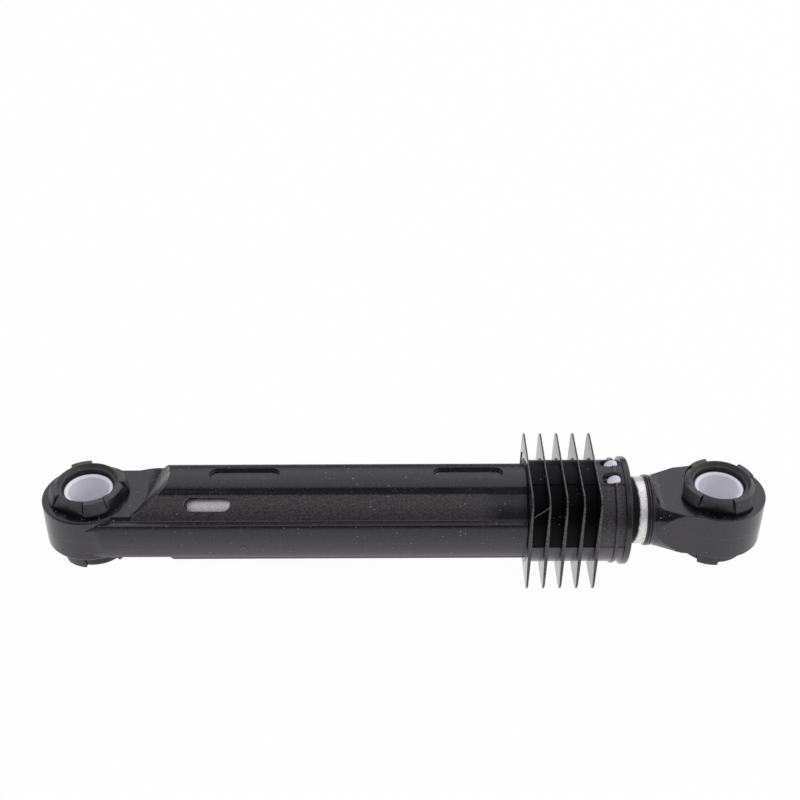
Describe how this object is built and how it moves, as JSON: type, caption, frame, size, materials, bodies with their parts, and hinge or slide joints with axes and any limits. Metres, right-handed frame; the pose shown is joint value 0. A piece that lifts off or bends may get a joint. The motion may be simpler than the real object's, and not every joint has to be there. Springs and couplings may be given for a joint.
{
  "type": "washing machine shock absorber",
  "caption": "Friction damper for a washing machine tub: ribbed black housing with thin square fins, sliding steel plunger tube and a rubber-bushed pin eye at each end.",
  "frame": {"origin": "Centre of the pin bore in the housing eye.", "axes": "X along the damper from the housing eye towards the rod eye; Z along both pin bores, up as the part lies; Y across."},
  "size_m": [0.2136, 0.0352, 0.0352],
  "materials": {
    "black_plastic": "fine moulded grain, dusty",
    "black_rubber": "matt",
    "white_plastic": "smooth",
    "white_cage_plastic": "smooth",
    "lining_foam": "greased foam",
    "galvanised_steel": "bright zinc"
  },
  "bodies": {
    "housing": {"housing": "black_plastic", "housing_bush": "black_rubber", "housing_sleeve": "white_plastic", "lining_cage": "white_cage_plastic", "friction_lining": "lining_foam"},
    "guide": {"guide_plug": "black_plastic"},
    "rod": {"plunger_tube": "galvanised_steel", "rod_eye": "black_plastic", "rod_bush": "black_rubber", "rod_sleeve": "white_plastic"}
  },
  "joints": [
    {"name": "rod_slide", "type": "slide", "parent": "housing", "child": "guide", "axis": [1, 0, 0], "range_m": [-0.0015, 0.1]},
    {"name": "rod_turn", "type": "hinge", "parent": "guide", "child": "rod", "pos_m": [0.1, 0, 0], "axis": [1, 0, 0], "continuous": true}
  ]
}
